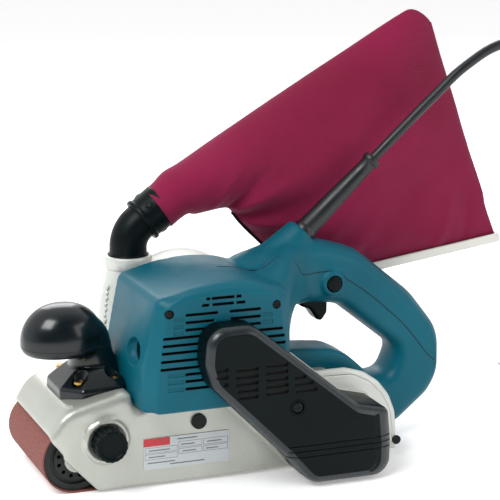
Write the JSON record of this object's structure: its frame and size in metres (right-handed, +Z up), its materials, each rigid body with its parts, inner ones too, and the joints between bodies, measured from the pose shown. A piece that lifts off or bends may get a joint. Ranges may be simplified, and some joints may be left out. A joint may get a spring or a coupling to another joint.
{
  "type": "handheld belt sander",
  "caption": "Handheld belt sander with side drive cover, front palm grip, rear D-handle with trigger, dust elbow and cloth dust bag, tension lever and tracking knob.",
  "frame": {"origin": "middle of the flat sole, on the underside of the abrasive belt", "axes": "+X towards the rear handle, -Y towards the drive cover on the operator's left, +Z up"},
  "size_m": [0.5836, 0.2135, 0.345],
  "materials": {
    "cast_frame": "satin cast aluminium, warm grey lacquer",
    "cast_light": "light grey cast aluminium",
    "pressed_steel": "ground spring steel",
    "cork": "cork and rubber sheet",
    "abrasive": "aluminium oxide grit on cloth",
    "roller_rubber": "vulcanised rubber on steel",
    "shaft_steel": "ground steel",
    "gear_steel": "hobbed steel, oiled",
    "bearing_steel": "polished bearing steel",
    "belt_rubber": "ribbed rubber",
    "pulley_alloy": "turned aluminium",
    "lamination": "stacked silicon steel",
    "copper": "copper",
    "winding": "enamelled copper wire",
    "brass": "brass",
    "carbon": "pressed carbon",
    "fan_plastic": "glass-filled nylon",
    "teal_plastic": "fine textured nylon, teal",
    "black_plastic": "fine textured black nylon",
    "grip_plastic": "glossy black phenolic",
    "screw_black": "black oxide steel",
    "plate_label": "printed aluminium foil",
    "bag_cloth": "woven polyester, burgundy",
    "rail_plastic": "white plastic",
    "cord_rubber": "rubber sheath",
    "plug_metal": "nickel-plated brass"
  },
  "bodies": {
    "machine": {"frame": "cast_frame", "rear_guard": "cast_light", "platen_pad": "cork", "platen_plate": "pressed_steel", "drive_bearings": "bearing_steel", "counter_bearings": "cast_light", "drive_belt": "belt_rubber", "motor_bearings": "bearing_steel", "stator_core": "lamination", "field_coils": "winding", "brush_holders": "brass", "carbon_brushes": "carbon", "brush_caps": "black_plastic", "motor_housing": "teal_plastic", "housing_screws": "screw_black", "belt_cover": "black_plastic", "cover_screw": "screw_black", "fan_case": "cast_light", "fan_cover": "cast_light", "tension_spring": "shaft_steel", "frame_screws": "screw_black", "name_plate": "plate_label", "front_grip": "grip_plastic", "grip_screws": "brass", "handle_left": "teal_plastic", "handle_right": "teal_plastic", "handle_screws": "screw_black", "switch_body": "black_plastic", "cord_guard": "cord_rubber", "cord": "cord_rubber", "cord_coil": "cord_rubber", "coil_tie": "black_plastic", "plug": "cord_rubber", "plug_pins": "plug_metal"},
    "armature": {"motor_shaft": "shaft_steel", "armature_core": "lamination", "commutator": "copper", "cooling_fan": "fan_plastic", "dust_fan": "cast_light", "motor_pulley": "pulley_alloy"},
    "countershaft": {"counter_shaft": "shaft_steel", "counter_pulley": "pulley_alloy", "counter_pinion": "gear_steel"},
    "drive": {"drive_roller": "roller_rubber", "drive_shaft": "shaft_steel", "drive_gear": "gear_steel"},
    "carrier": {"roller_carrier": "cast_frame", "idler_axle": "shaft_steel"},
    "idler": {"front_roller": "roller_rubber"},
    "lever": {"tension_lever": "screw_black"},
    "tracker": {"tracking_knob": "black_plastic", "tracking_screw": "shaft_steel"},
    "trigger": {"trigger": "black_plastic"},
    "lock": {"lock_button": "black_plastic"},
    "elbow": {"elbow": "black_plastic"},
    "bag": {"bag_collar": "black_plastic", "dust_bag": "bag_cloth"},
    "rail": {"bag_rail": "rail_plastic"},
    "abrasive_belt": {"sanding_belt": "abrasive"}
  },
  "joints": [
    {"name": "armature_spin", "type": "hinge", "parent": "machine", "child": "armature", "pos_m": [0, 0, 0.105], "axis": [0, 1, 0], "continuous": true},
    {"name": "countershaft_spin", "type": "hinge", "parent": "machine", "child": "countershaft", "pos_m": [0.08806, 0, 0.032], "axis": [0, 1, 0], "continuous": true},
    {"name": "drive_roller_spin", "type": "hinge", "parent": "machine", "child": "drive", "pos_m": [0.11166, 0, 0.026], "axis": [0, 1, 0], "continuous": true},
    {"name": "front_roller_spin", "type": "hinge", "parent": "carrier", "child": "idler", "pos_m": [-0.11166, 0, 0.026], "axis": [0, 1, 0], "continuous": true},
    {"name": "tension_lever_turn", "type": "hinge", "parent": "machine", "child": "lever", "pos_m": [-0.01366, 0, 0.026], "axis": [0, -1, 0], "range_deg": [0, 60]},
    {"name": "carrier_slide", "type": "slide", "parent": "machine", "child": "carrier", "axis": [1, 0, 0], "range_m": [0, 0.008], "deforming": ["tension_spring"]},
    {"name": "tracking_knob_turn", "type": "hinge", "parent": "machine", "child": "tracker", "pos_m": [-0.09016, 0, 0.041], "axis": [0, 1, 0], "range_deg": [-180, 180]},
    {"name": "trigger_pull", "type": "slide", "parent": "machine", "child": "trigger", "axis": [0, 0, 1], "range_m": [0, 0.005], "stiffness_N_per_m": 600, "springref_m": -0.003},
    {"name": "lock_press", "type": "slide", "parent": "machine", "child": "lock", "axis": [0, 1, 0], "range_m": [0, 0.0035], "stiffness_N_per_m": 300, "springref_m": -0.002},
    {"name": "elbow_swivel", "type": "hinge", "parent": "machine", "child": "elbow", "pos_m": [-0.039, 0.045, 0.158], "axis": [0, 0, 1], "range_deg": [0, 120]},
    {"name": "bag_pull_off", "type": "slide", "parent": "elbow", "child": "bag", "axis": [0.8111, 0, 0.585], "range_m": [0, 0.04]},
    {"name": "rail_slide_off", "type": "slide", "parent": "bag", "child": "rail", "axis": [0.99, 0, 0.1409], "range_m": [0, 0.19]},
    {"name": "abrasive_belt_slide_off", "type": "slide", "parent": "machine", "child": "abrasive_belt", "axis": [0, 1, 0], "range_m": [0, 0.11]}
  ],
  "couplings": [
    {"joint": "countershaft_spin", "follows": "armature_spin", "ratio": 0.52381},
    {"joint": "drive_roller_spin", "follows": "armature_spin", "ratio": -0.30556},
    {"joint": "front_roller_spin", "follows": "armature_spin", "ratio": -0.30556},
    {"joint": "carrier_slide", "follows": "tension_lever_turn", "m_per_rad": 0.0076394}
  ]
}
